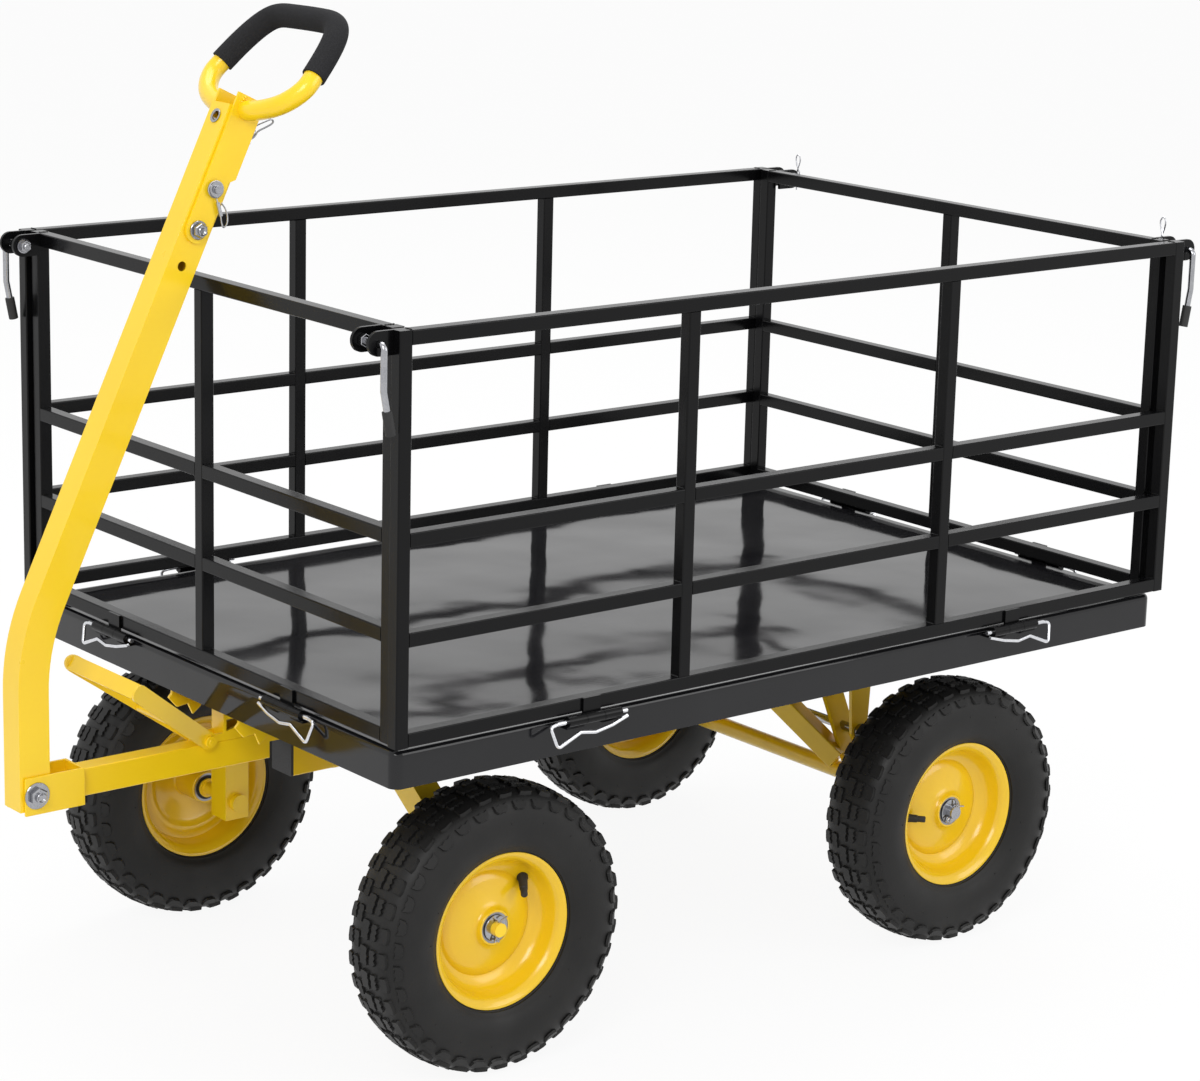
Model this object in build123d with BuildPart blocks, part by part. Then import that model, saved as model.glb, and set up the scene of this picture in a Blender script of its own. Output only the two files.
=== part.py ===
"""Steel garden cart with a tipping bed, fold-down rail sides and a steered front axle.

Millimetres, +Z up, floor at z = 0, the handle end points to -Y and the cart's left side to +X.
Everything is drawn about the middle of the bed and moved at the end so that the whole
cart's footprint is centred on the origin.
"""
import os
from math import cos, hypot, radians, sin, tan

from build123d import *

# ---- bed and panels ---------------------------------------------------------------
bed_length, bed_width = 1175.0, 782.0      # over the outside of the panels
half_length, half_width = bed_length / 2, bed_width / 2
panel_foot, panel_height = 420.0, 441.0    # underside of the bottom rails, height of a panel
tube = 16.0                                # square tube of the panels
tube_round = 1.6
mid_rails = (108.0, 214.0)                 # underside of each middle rail above the foot
side_stile = 197.0                         # stiles of a side panel stand this far from its middle
corner_gap = 5.0                           # between an end panel and the side posts
end_inset = 5.0                            # end panels stand this far inside the side posts' ends

pan_top, pan_foot, pan_sheet = 414.0, 372.0, 2.0
pan_inset_side, pan_inset_end = 11.0, 6.0  # skirt inside the panels' outer faces
pan_edge_round, pan_corner_round = 7.0, 12.0

# ---- wheels and axles -------------------------------------------------------------
tyre_radius, tyre_width = 165.0, 92.0
rim_radius, rim_width = 90.0, 60.0
bead_radius, rim_sheet = 80.0, 2.5
wheel_mid = 307.0                          # wheel's middle plane from the centre line
hub_radius, hub_in, hub_out = 20.0, 36.0, 17.0
stub_radius, running = 8.0, 0.05
stub_end, collar_radius = wheel_mid + 28.0, 12.0
front_axle_y, rear_axle_y = 184.0 - half_length, half_length - 289.1
axle_z = tyre_radius
axle_tube_radius = 11.0

# ---- chassis ----------------------------------------------------------------------
spine_size, spine_foot, spine_wall = 40.0, 270.0, 2.5
spine_front, spine_rear = 119.5 - half_length, half_length - 257.5
cap_plate, cap_plug = 3.5, 12.0
arch_size, arch_wall = 33.0, 2.5
arch_flat, arch_shoulder = 117.0, 254.0    # half length of the level part, height where legs start
arch_leg, leg_foot = 218.0, 143.0
pivot_gap = 0.4                            # arch above the spine
kingpin_radius = 9.0
saddle_width, saddle_plate = 32.0, 6.0
saddle_flat, saddle_foot_x = 102.0, 152.0
brace_size = 26.0
tilt_z, tilt_rod_radius = 225.0, 6.0       # the bed tips about this rod, above the rear axle
hanger_x, hanger_plate = 152.0, 5.0
hook_x, hook_plate = 70.5, 4.0

# ---- tongue, clevis and release lever ----------------------------------------------
tongue_width, tongue_height, tongue_foot, tongue_wall = 25.0, 32.0, 295.0, 2.5
tongue_front, tongue_rear = -154.5 - half_length, 91.5 - half_length
clevis_plate, clevis_fit = 3.0, 0.5        # fit: gap each side of the handle's foot
clevis_front, clevis_foot, clevis_height = tongue_front - 74.0, 288.0, 43.0
handle_pivot_y, handle_pivot_z = tongue_front - 60.0, 310.0
clevis_bolt_radius = 6.0
lever_pivot_y, lever_pivot_z = 9.0 - half_length, 330.5
lever_top_y, lever_top_z = lever_pivot_y - 123.5, 421.0
lever_foot_x, lever_top_x = 15.0, 70.0     # middle of each arm at its foot and at its top
lever_plate, lever_width, lever_bend = 4.0, 20.0, 16.0
lever_bolt_radius = 3.0

# ---- handle and grip --------------------------------------------------------------
handle_wide, handle_deep, handle_wall = 35.0, 37.0, 2.5
handle_foot, bend_z, bend_radius = 18.0, 475.4, 238.0
handle_lean = 25.3                         # lean of the upper part
cross_hole, flip_bolt, lock_hole, hitch_hole, handle_top = 443.0, 486.0, 534.0, 610.0, 626.0
bracket_plate, bracket_fit = 3.0, 0.3
bracket_step, bracket_top = 553.0, 642.0
loop_radius, foam_radius = 11.0, 13.5
loop_tilt = 44.4                           # the grip loop's plane leans back this far


def band(points, width, cut=0.0):
    """Outline of a strip of the given width along a bent line, lengthened by cut at both ends."""
    pts = [tuple(p) for p in points]
    ways = []
    for a, b in zip(pts, pts[1:]):
        d = hypot(b[0] - a[0], b[1] - a[1])
        ways.append(((b[0] - a[0]) / d, (b[1] - a[1]) / d))
    pts[0] = (pts[0][0] - ways[0][0] * cut, pts[0][1] - ways[0][1] * cut)
    pts[-1] = (pts[-1][0] + ways[-1][0] * cut, pts[-1][1] + ways[-1][1] * cut)
    left, right = [], []
    for i, p in enumerate(pts):
        before, after = ways[max(i - 1, 0)], ways[min(i, len(ways) - 1)]
        nx, ny = -(before[1] + after[1]), before[0] + after[0]
        long = hypot(nx, ny)
        nx, ny = nx / long, ny / long
        reach = width / 2 / (nx * -after[1] + ny * after[0])
        left.append((p[0] + nx * reach, p[1] + ny * reach))
        right.append((p[0] - nx * reach, p[1] - ny * reach))
    return left + right[::-1]


def block(x, y, z, mode=Mode.ADD):
    """Box between two limits along each axis, added to the part that is open."""
    with Locations(((x[0] + x[1]) / 2, (y[0] + y[1]) / 2, (z[0] + z[1]) / 2)):
        Box(x[1] - x[0], y[1] - y[0], z[1] - z[0], mode=mode)


def square_bar(start, end, across=tube, deep=None):
    """Round-edged bar between two points, added to the part that is open."""
    way = Vector(*end) - Vector(*start)
    side = Vector(0, 0, 1) if abs(way.normalized().Z) < 0.9 else Vector(1, 0, 0)
    plane = Plane(origin=start, x_dir=side.cross(way).normalized(), z_dir=way)
    with BuildSketch(plane) as section:
        RectangleRounded(across, deep or across, tube_round)
    extrude(section.sketch, amount=way.length)


def rod(start, end, radius, mode=Mode.ADD):
    """Round rod between two points, added to or cut from the part that is open."""
    way = Vector(*end) - Vector(*start)
    with BuildSketch(Plane(origin=start, z_dir=way)) as section:
        Circle(radius)
    extrude(section.sketch, amount=way.length, mode=mode)


def nut(start, way, across, thick):
    """Hexagonal nut standing on a point, added to the part that is open."""
    with BuildSketch(Plane(origin=start, z_dir=way)) as section:
        RegularPolygon(across, 6)
    extrude(section.sketch, amount=thick)


def wire(points, radius, bend):
    """Round wire along a bent line with rounded corners, added to the part that is open."""
    with BuildLine():
        path = FilletPolyline(*points, radius=bend)
    with BuildSketch(Plane(origin=path @ 0, z_dir=path % 0)) as section:
        Circle(radius)
    sweep(section.sketch, path=path)


pieces = {}


def keep(name, built):
    pieces[name] = built.part


# ---- bed pan ----------------------------------------------------------------------
skirt_x, skirt_y = half_width - pan_inset_side, half_length - pan_inset_end


def tray(inset, foot):
    """The pan's outline as a solid, its walls and its rounds drawn in by the inset."""
    with BuildPart() as solid:
        block((inset - skirt_x, skirt_x - inset), (inset - skirt_y, skirt_y - inset), (foot, pan_top - inset))
        fillet(solid.edges().filter_by(Axis.Z), pan_corner_round - inset)
        fillet(solid.faces().sort_by(Axis.Z)[-1].edges(), pan_edge_round - inset)
    return solid.part


with BuildPart() as pan:
    add(tray(0.0, pan_foot))
    add(tray(pan_sheet, pan_foot - 1.0), mode=Mode.SUBTRACT)
keep("floor_pan", pan)

# ---- panels -----------------------------------------------------------------------
# A panel is drawn in its own plane: "along" runs down its length, "up" from its foot.
post_x = half_width - tube / 2             # middle of the side panels' tubes
end_y = half_length - end_inset - tube / 2
end_half = half_width - tube - corner_gap  # half length of an end panel
hinge_radius, hinge_long, hinge_play = 6.0, 24.0, 0.5
hinge_pin, hinge_plate = 2.5, 3.0
hinge_z = pan_top
hinge_out = hinge_radius                   # barrel's middle outside the panel's outer face
side_hinges, end_hinges = (-330.0, 317.0), (-182.0, 182.0)
ear_plate, ear_radius, ear_hole = 4.0, 13.0, 4.0
ear_z = panel_foot + panel_height - ear_radius
side_ear_x, end_ear_x = half_width - tube + 3.0, end_half - 21.0
latch_y = half_length + 18.0               # the latch rods lie this far from the bed's middle


def place(axis, face, along, out, up):
    """Point on a panel: axis is its length's direction, face its outward sign."""
    return (along, face * out, up) if axis == "X" else (face * out, along, up)


def uprights(axis, face, middle, half, stiles):
    for along in (-half + tube / 2, half - tube / 2):
        square_bar(place(axis, face, along, middle, panel_foot),
                   place(axis, face, along, middle, panel_foot + panel_height))
    for along in stiles:
        square_bar(place(axis, face, along, middle, panel_foot + tube),
                   place(axis, face, along, middle, panel_foot + panel_height - tube))


def rails(axis, face, middle, half, stiles):
    inside = half - tube
    for up in (tube / 2, panel_height - tube / 2):
        square_bar(place(axis, face, -inside, middle, panel_foot + up),
                   place(axis, face, inside, middle, panel_foot + up))
    stops = [-inside] + [s + e * tube / 2 for s in stiles for e in (-1, 1)] + [inside]
    for low in mid_rails:
        for a, b in zip(stops[::2], stops[1::2]):
            square_bar(place(axis, face, a, middle, panel_foot + low + tube / 2),
                       place(axis, face, b, middle, panel_foot + low + tube / 2))


def panel_knuckle(axis, face, outer, along):
    """Middle barrel of a hinge with its strap up the panel's outer face."""
    pivot = outer + hinge_out
    a, b = along - hinge_long / 2, along + hinge_long / 2
    rod(place(axis, face, a, pivot, hinge_z), place(axis, face, b, pivot, hinge_z), hinge_radius)
    out = sorted((face * outer, face * (outer + hinge_plate)))
    span = (a, b)
    block(*((span, out) if axis == "X" else (out, span)), (hinge_z, panel_foot + tube))
    rod(place(axis, face, a, pivot, hinge_z), place(axis, face, b, pivot, hinge_z),
        hinge_pin + running, Mode.SUBTRACT)


def ear(x, end, root):
    """Upright round-ended plate that reaches past the end of the bed, bored for the latch rod."""
    sides = [(x - ear_plate / 2, end * latch_y, ear_z), (x + ear_plate / 2, end * latch_y, ear_z)]
    rod(*sides, ear_radius)
    block((x - ear_plate / 2, x + ear_plate / 2), sorted((end * root, end * latch_y)),
          (ear_z - ear_radius, ear_z + ear_radius))
    rod(*sides, ear_hole, Mode.SUBTRACT)


sides = {"left": 1, "right": -1}
ends = {"front": -1, "rear": 1}
for name, face in sides.items():
    with BuildPart() as posts:
        uprights("Y", face, post_x, half_length, (-side_stile, side_stile))
    keep(f"{name}_panel_uprights", posts)
    with BuildPart() as bars:
        rails("Y", face, post_x, half_length, (-side_stile, side_stile))
    keep(f"{name}_panel_rails", bars)
    with BuildPart() as fittings:
        for along in side_hinges:
            panel_knuckle("Y", face, half_width, along)
        for end in (-1, 1):
            ear(face * side_ear_x, end, half_length)
    keep(f"{name}_panel_fittings", fittings)

for name, face in ends.items():
    with BuildPart() as posts:
        uprights("X", face, end_y, end_half, (0.0,))
    keep(f"{name}_panel_uprights", posts)
    with BuildPart() as bars:
        rails("X", face, end_y, end_half, (0.0,))
    keep(f"{name}_panel_rails", bars)
    with BuildPart() as fittings:
        for along in end_hinges:
            panel_knuckle("X", face, end_y + tube / 2, along)
        for side in (-1, 1):
            ear(side * end_ear_x, face, end_y + tube / 2)
    keep(f"{name}_panel_fittings", fittings)

# ---- hinges on the bed and their spring-wire pins ---------------------------------
hinge_half = hinge_long / 2 + hinge_play
clip_wire = 2.0


def bed_knuckles(axis, face, outer, skirt, along):
    """Two outer barrels of a hinge on a strap from the pan's skirt."""
    pivot = outer + hinge_out
    for turn in (-1, 1):
        a, b = sorted((along + turn * hinge_half, along + turn * (hinge_half + hinge_long)))
        rod(place(axis, face, a, pivot, hinge_z), place(axis, face, b, pivot, hinge_z), hinge_radius)
        out = sorted((face * skirt, face * pivot))
        low = hinge_z - hinge_radius
        block(*(((a, b), out) if axis == "X" else (out, (a, b))), (low - hinge_plate, low + 1.0))
        rod(place(axis, face, a, pivot, hinge_z), place(axis, face, b, pivot, hinge_z),
            hinge_pin, Mode.SUBTRACT)


def hinge_clip(axis, face, outer, along, turn):
    """Hinge pin whose wire turns back along the hinge as a bowed spring."""
    pivot = outer + hinge_out
    start, end = along - turn * 46.0, along + turn * 50.0
    rod(place(axis, face, start, pivot, hinge_z), place(axis, face, end, pivot, hinge_z), hinge_pin)
    turns = [(48.0, 0.0, 0.0), (60.0, 1.0, -2.0), (54.0, 7.0, -25.0), (22.0, 6.0, -12.0), (2.0, 6.5, -15.0),
             (-22.0, 6.0, -11.0), (-44.0, 4.0, -5.0)]
    wire([place(axis, face, along + turn * down, pivot + out, hinge_z + up) for down, out, up in turns],
         clip_wire, 4.0)


with BuildPart() as knuckles:
    for face in (-1, 1):
        for along in side_hinges:
            bed_knuckles("Y", face, half_width, skirt_x, along)
        for along in end_hinges:
            bed_knuckles("X", face, end_y + tube / 2, skirt_y, along)
keep("bed_hinges", knuckles)

with BuildPart() as clips:
    for face in (-1, 1):
        for along, turn in zip(side_hinges, (-1, 1)):
            hinge_clip("Y", face, half_width, along, turn)
        for along, turn in zip(end_hinges, (-1, 1)):
            hinge_clip("X", face, end_y + tube / 2, along, turn)
keep("hinge_clips", clips)

# ---- corner latches ---------------------------------------------------------------
latch_rod, latch_drop, latch_lean = 3.7, 68.0, 4.0
sleeve_radius, sleeve_long = 5.5, 26.0
latch_mid = (side_ear_x + end_ear_x) / 2
latch_out = side_ear_x + 11.0

for name, face in sides.items():
    with BuildPart() as levers:
        for end in (-1, 1):
            y = end * latch_y
            wire([(face * (latch_mid + 0.4), y, ear_z), (face * latch_out, y, ear_z),
                  (face * latch_out, y, ear_z - latch_drop * 0.7),
                  (face * latch_out, y - end * latch_lean, ear_z - latch_drop)], latch_rod, 6.0)
    keep(f"{name}_latch_levers", levers)
    with BuildPart() as sleeves:
        for end in (-1, 1):
            top = Vector(face * latch_out, end * (latch_y - latch_lean), ear_z - latch_drop)
            way = Vector(0, -end * latch_lean, -latch_drop * 0.3).normalized()
            rod(tuple(top), tuple(top + way * sleeve_long), sleeve_radius)
    keep(f"{name}_latch_sleeves", sleeves)

for name, face in ends.items():
    with BuildPart() as bolts:
        for side in (-1, 1):
            rod((side * (latch_mid - 0.4), face * latch_y, ear_z),
                (side * (end_ear_x - 12.0), face * latch_y, ear_z), latch_rod)
            rod((side * (end_ear_x - ear_plate / 2), face * latch_y, ear_z),
                (side * (end_ear_x - 9.0), face * latch_y, ear_z), 8.0)
    keep(f"{name}_latch_bolts", bolts)

# ---- chassis: spine, kingpin, rear axle and what carries the bed -------------------
spine_top, spine_mid = spine_foot + spine_size, spine_foot + spine_size / 2
with BuildPart() as spine:
    square_bar((0, spine_front, spine_mid), (0, spine_rear, spine_mid), spine_size)
    hollow = spine_size / 2 - spine_wall
    block((-hollow, hollow), (spine_front, spine_rear),
          (spine_mid - hollow, spine_mid + hollow), Mode.SUBTRACT)
    rod((0, front_axle_y, spine_foot - 1), (0, front_axle_y, spine_top + 1), kingpin_radius, Mode.SUBTRACT)
keep("spine", spine)

with BuildPart() as caps:
    for y, way in ((spine_front, -1), (spine_rear, 1)):
        edge = sorted((y, y + way * cap_plate))
        square_bar((0, edge[0], spine_mid), (0, edge[1], spine_mid), spine_size)
        block((-hollow, hollow), sorted((y, y - way * cap_plug)), (spine_mid - hollow, spine_mid + hollow))
keep("spine_caps", caps)

arch_foot = spine_top + pivot_gap
arch_mid = arch_foot + arch_size / 2
with BuildPart() as kingpin:
    rod((0, front_axle_y, spine_foot), (0, front_axle_y, arch_foot + arch_size + 9), kingpin_radius)
    rod((0, front_axle_y, spine_foot - 3), (0, front_axle_y, spine_foot), kingpin_radius + 4)
    nut((0, front_axle_y, arch_foot + arch_size + pivot_gap), (0, 0, 1), 14.0, 8.0)
keep("kingpin", kingpin)

with BuildPart() as rear_axle:
    inner = wheel_mid - hub_in - 1.0
    rod((-inner, rear_axle_y, axle_z), (inner, rear_axle_y, axle_z), axle_tube_radius)
    rod((-stub_end, rear_axle_y, axle_z), (stub_end, rear_axle_y, axle_z), stub_radius)
keep("rear_axle", rear_axle)

saddle_top = spine_foot
saddle_line = [(-saddle_foot_x, axle_z + 9.0), (-saddle_flat, saddle_top - saddle_plate / 2),
               (saddle_flat, saddle_top - saddle_plate / 2), (saddle_foot_x, axle_z + 9.0)]
with BuildPart() as saddle:
    with BuildSketch(Plane.XZ.offset(-rear_axle_y)):
        Polygon(*band(saddle_line, saddle_plate), align=None)
    extrude(amount=saddle_width / 2, both=True)
    rod((-half_width, rear_axle_y, axle_z), (half_width, rear_axle_y, axle_z), axle_tube_radius, Mode.SUBTRACT)
    rod((-half_width, rear_axle_y, tilt_z), (half_width, rear_axle_y, tilt_z), tilt_rod_radius, Mode.SUBTRACT)
keep("rear_saddle", saddle)

with BuildPart() as braces:
    for side in (-1, 1):
        square_bar((side * 136.0, rear_axle_y - 14.0, 186.0), (side * 16.0, rear_axle_y - 66.4, 286.0), brace_size)
    block((-spine_size / 2, spine_size / 2), (spine_front, spine_rear), (spine_foot, spine_top), Mode.SUBTRACT)
    add(saddle.part, mode=Mode.SUBTRACT)
    add(rear_axle.part, mode=Mode.SUBTRACT)
keep("rear_braces", braces)

with BuildPart() as tilt_rod:
    reach = hanger_x + hanger_plate + 8.0
    rod((-reach, rear_axle_y, tilt_z), (reach, rear_axle_y, tilt_z), tilt_rod_radius)
    for side in (-1, 1):
        rod((side * (hanger_x + hanger_plate + 0.4), rear_axle_y, tilt_z),
            (side * (reach - 1.5), rear_axle_y, tilt_z), 10.0)
keep("tilt_rod", tilt_rod)

with BuildPart() as hangers:
    for side in (-1, 1):
        with BuildSketch(Plane.YZ.offset(side * hanger_x)):
            with BuildLine():
                Polyline((rear_axle_y - 24, pan_top - pan_sheet), (rear_axle_y + 24, pan_top - pan_sheet),
                         (rear_axle_y + 13, tilt_z), (rear_axle_y - 13, tilt_z), close=True)
            make_face()
            with Locations((rear_axle_y, tilt_z)):
                Circle(13.0)
                Circle(tilt_rod_radius + running, mode=Mode.SUBTRACT)
        extrude(amount=side * hanger_plate)
keep("bed_hangers", hangers)

hook_foot = pan_top - pan_sheet
hook_line = [(11.5, hook_foot), (11.5, 366), (7, 361), (18.5, 348), (33, 350), (39.5, 336), (50, 344),
             (54.5, 355), (54.5, hook_foot)]    # places back from the bed's front end, and heights
with BuildPart() as hooks:
    for side in (-1, 1):
        with BuildSketch(Plane.YZ.offset(side * (hook_x - hook_plate / 2))):
            Polygon(*[(back - half_length, up) for back, up in hook_line], align=None)
        extrude(amount=side * hook_plate)
keep("bed_hooks", hooks)

# ---- steered front axle -----------------------------------------------------------
arch_line = [(-arch_leg, leg_foot), (-arch_leg, arch_shoulder), (-arch_flat, arch_mid),
             (arch_flat, arch_mid), (arch_leg, arch_shoulder), (arch_leg, leg_foot)]
with BuildPart() as arch:
    with BuildSketch(Plane.XZ.offset(-front_axle_y)):
        Polygon(*band(arch_line, arch_size), align=None)
    extrude(amount=arch_size / 2, both=True)
    with BuildSketch(Plane.XZ.offset(-front_axle_y)):
        Polygon(*band(arch_line, arch_size - 2 * arch_wall, 1.0), align=None)
    extrude(amount=arch_size / 2 - arch_wall, both=True, mode=Mode.SUBTRACT)
    rod((0, front_axle_y, spine_top), (0, front_axle_y, arch_foot + arch_size + 1),
        kingpin_radius + running, Mode.SUBTRACT)
    rod((-half_width, front_axle_y, axle_z), (half_width, front_axle_y, axle_z), stub_radius, Mode.SUBTRACT)
keep("front_arch", arch)

with BuildPart() as stubs:
    for side in (-1, 1):
        inner = arch_leg - arch_size / 2
        rod((side * inner, front_axle_y, axle_z), (side * stub_end, front_axle_y, axle_z), stub_radius)
        rod((side * (inner - 8.0), front_axle_y, axle_z), (side * inner, front_axle_y, axle_z), 11.0)
        hub_face = wheel_mid - hub_in - 1.0
        rod((side * (hub_face - 3.0), front_axle_y, axle_z), (side * hub_face, front_axle_y, axle_z), collar_radius)
keep("front_stub_axles", stubs)

tongue_mid = tongue_foot + tongue_height / 2
with BuildPart() as tongue:
    square_bar((0, tongue_front, tongue_mid), (0, tongue_rear, tongue_mid), tongue_width, tongue_height)
    inside = tongue_width / 2 - tongue_wall
    block((-inside, inside), (tongue_front, tongue_rear),
          (tongue_foot + tongue_wall, tongue_foot + tongue_height - tongue_wall), Mode.SUBTRACT)
keep("tongue", tongue)

tongue_top = tongue_foot + tongue_height
with BuildPart() as gussets:
    for side in (-1, 1):
        with BuildSketch(Plane.YZ.offset(side * tongue_width / 2)):
            Polygon((lever_pivot_y - 11.5, tongue_top), (tongue_rear, tongue_top), (tongue_rear, spine_top + 5),
                    (front_axle_y - arch_size / 2, spine_top + 5), (front_axle_y - arch_size / 2, 343),
                    (lever_pivot_y + 42.5, 342), (lever_pivot_y + 18.5, 336), (lever_pivot_y - 9.5, 336), align=None)
        extrude(amount=-side * 4.0)
    block((-tongue_width / 2, tongue_width / 2), (lever_pivot_y + 20.5, lever_pivot_y + 24.5),
          (tongue_top, pan_foot - 6))
    rod((-half_width, lever_pivot_y, lever_pivot_z), (half_width, lever_pivot_y, lever_pivot_z),
        lever_bolt_radius, Mode.SUBTRACT)
keep("tongue_gussets", gussets)

with BuildPart() as clevis:
    half = handle_wide / 2 + clevis_fit + clevis_plate
    block((-half, half), (clevis_front, tongue_front), (clevis_foot, clevis_foot + clevis_height))
    inner = half - clevis_plate
    block((-inner, inner), (clevis_front, tongue_front - clevis_plate),
          (clevis_foot, clevis_foot + clevis_height), Mode.SUBTRACT)
    rod((-half_width, handle_pivot_y, handle_pivot_z), (half_width, handle_pivot_y, handle_pivot_z),
        clevis_bolt_radius, Mode.SUBTRACT)
keep("clevis", clevis)

with BuildPart() as clevis_bolt:
    rod((-half - 12.0, handle_pivot_y, handle_pivot_z), (half + 12.0, handle_pivot_y, handle_pivot_z),
        clevis_bolt_radius)
    for side in (-1, 1):
        rod((side * half, handle_pivot_y, handle_pivot_z), (side * (half + 2.0), handle_pivot_y, handle_pivot_z), 15.0)
        nut((side * (half + 2.0), handle_pivot_y, handle_pivot_z), (side, 0, 0), 10.5, 8.0)
keep("clevis_bolt", clevis_bolt)

# Release lever: two flat arms spread from the gussets to a cross plate for the foot, with a
# round bar between them halfway up.
lever_way = Vector(0, lever_top_y - lever_pivot_y, lever_top_z - lever_pivot_z)
lever_long = lever_way.length
lever_plane = Plane(origin=(0, lever_pivot_y, lever_pivot_z), x_dir=(1, 0, 0),
                    z_dir=Vector(1, 0, 0).cross(lever_way.normalized()))
with BuildPart() as lever:
    with BuildSketch(lever_plane):
        for side in (-1, 1):
            arm = [(side * lever_foot_x, -lever_width), (side * lever_foot_x, lever_bend),
                   (side * lever_top_x, lever_long), (side * (lever_top_x + 5.0), lever_long + 13.0)]
            Polygon(*band(arm, lever_plate), align=None)
    extrude(amount=lever_width, both=True)
    with BuildSketch(Plane(origin=(0, (lever_pivot_y + lever_top_y) / 2, (lever_pivot_z + lever_top_z) / 2),
                           x_dir=lever_way, z_dir=(1, 0, 0))):
        SlotCenterToCenter(lever_long, lever_width)
    extrude(amount=2 * lever_top_x, both=True, mode=Mode.INTERSECT)
    with BuildSketch(lever_plane):
        with Locations((0, lever_long + 4.0)):
            Rectangle(2 * lever_top_x, lever_plate)
    extrude(amount=lever_width / 2 - 1.0, both=True)
    bar = lever_plane.from_local_coords((lever_foot_x + 20.0, lever_long * 0.47, 6.0))
    rod((-bar.X, bar.Y, bar.Z), (bar.X, bar.Y, bar.Z), 3.5)
    rod((-half_width, lever_pivot_y, lever_pivot_z), (half_width, lever_pivot_y, lever_pivot_z),
        lever_bolt_radius, Mode.SUBTRACT)
keep("release_lever", lever)

with BuildPart() as lever_rod:
    reach = lever_foot_x + lever_plate / 2
    rod((-reach - 4.0, lever_pivot_y, lever_pivot_z), (reach + 4.0, lever_pivot_y, lever_pivot_z), lever_bolt_radius)
    for side in (-1, 1):
        rod((side * reach, lever_pivot_y, lever_pivot_z), (side * (reach + 3.0), lever_pivot_y, lever_pivot_z), 6.5)
keep("lever_rod", lever_rod)

# ---- handle -----------------------------------------------------------------------
lean = radians(handle_lean)
bend = (handle_pivot_y, bend_z)
foot = (handle_pivot_y, handle_pivot_z - handle_foot)


def on_lean(along, ahead=0.0):
    """Point of the leaning part: distance up from the bend's corner and distance to the front."""
    return (bend[0] + along * sin(lean) - ahead * cos(lean), bend[1] + along * cos(lean) + ahead * sin(lean))


with BuildPart() as handle:
    for wide, deep, cut, mode in ((handle_wide, handle_deep, 0.0, Mode.ADD),
                                  (handle_wide - 2 * handle_wall, handle_deep - 2 * handle_wall, 1.0,
                                   Mode.SUBTRACT)):
        edge = band([foot, bend, on_lean(handle_top)], deep, cut)
        with BuildSketch(Plane.YZ):
            with BuildLine():
                FilletPolyline(*edge[:3], radius=bend_radius + deep / 2)
                FilletPolyline(*edge[3:], radius=bend_radius - deep / 2)
                Line(edge[2], edge[3])
                Line(edge[5], edge[0])
            make_face()
        extrude(amount=wide / 2, both=True, mode=mode)
    rod((-half_width, handle_pivot_y, handle_pivot_z), (half_width, handle_pivot_y, handle_pivot_z),
        clevis_bolt_radius + running, Mode.SUBTRACT)
    for along, radius in ((cross_hole, 5.5), (flip_bolt, 5.0), (lock_hole, 4.5)):
        rod((-handle_wide, *on_lean(along)), (handle_wide, *on_lean(along)), radius, Mode.SUBTRACT)
    rod((0, *on_lean(hitch_hole, handle_deep)), (0, *on_lean(hitch_hole, -handle_deep)), 6.5, Mode.SUBTRACT)
keep("handle_tube", handle)

plate_in = handle_wide / 2 + bracket_fit
plate_out = plate_in + bracket_plate
with BuildPart() as handle_bolt:
    reach = plate_out + 0.4
    rod((-reach - 9, *on_lean(flip_bolt)), (reach + 9, *on_lean(flip_bolt)), 5.0)
    for side in (-1, 1):
        rod((side * reach, *on_lean(flip_bolt)), (side * (reach + 2.0), *on_lean(flip_bolt)), 11.0)
        rod((side * (reach + 2.0), *on_lean(flip_bolt)), (side * (reach + 8.0), *on_lean(flip_bolt)), 8.0)
keep("handle_bolt", handle_bolt)

# ---- grip bracket, loop and foam ---------------------------------------------------
back = handle_deep / 2 + bracket_fit
with BuildPart() as bracket:
    for side in (-1, 1):
        with BuildSketch(Plane.YZ.offset(side * plate_in)):
            Polygon(on_lean(flip_bolt, 15), on_lean(bracket_top, 15), on_lean(bracket_top, -back - bracket_plate),
                    on_lean(bracket_step, -back - bracket_plate), on_lean(bracket_step - 6, -15),
                    on_lean(flip_bolt, -15), align=None)
            with Locations(on_lean(flip_bolt)):
                Circle(15.0)
        extrude(amount=side * bracket_plate)
    with BuildSketch(Plane.YZ):
        Polygon(on_lean(bracket_step, -back), on_lean(bracket_top, -back),
                on_lean(bracket_top, -back - bracket_plate), on_lean(bracket_step, -back - bracket_plate),
                align=None)
    extrude(amount=plate_out, both=True)
    for along, radius in ((flip_bolt, 5.0 + running), (lock_hole, 4.5)):
        rod((-handle_wide, *on_lean(along)), (handle_wide, *on_lean(along)), radius, Mode.SUBTRACT)
    rod((0, *on_lean(hitch_hole)), (0, *on_lean(hitch_hole, -handle_deep)), 5.5, Mode.SUBTRACT)
keep("grip_bracket", bracket)

tilt = radians(loop_tilt)
loop_base = on_lean(bracket_top - 8.5, -4.2)


def on_loop(across, up):
    return (across, loop_base[0] + up * sin(tilt), loop_base[1] + up * cos(tilt))


loop_half = [(plate_out, -7.0), (49.0, -2.0), (80.0, 14.0), (93.0, 36.0), (91.5, 50.0), (84.0, 84.0),
             (63.0, 119.0), (32.0, 125.0)]
foam_end = 4                               # the foam starts at this point of the loop
(x_before, s_before), (x_after, s_after) = loop_half[foam_end - 1], loop_half[foam_end + 1]


def loop_way(side, turn):
    """Direction of the loop where the foam ends, up one arm or down the other."""
    rise = turn * (s_after - s_before)
    return (side * (x_after - x_before), rise * sin(tilt), rise * cos(tilt))


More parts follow.
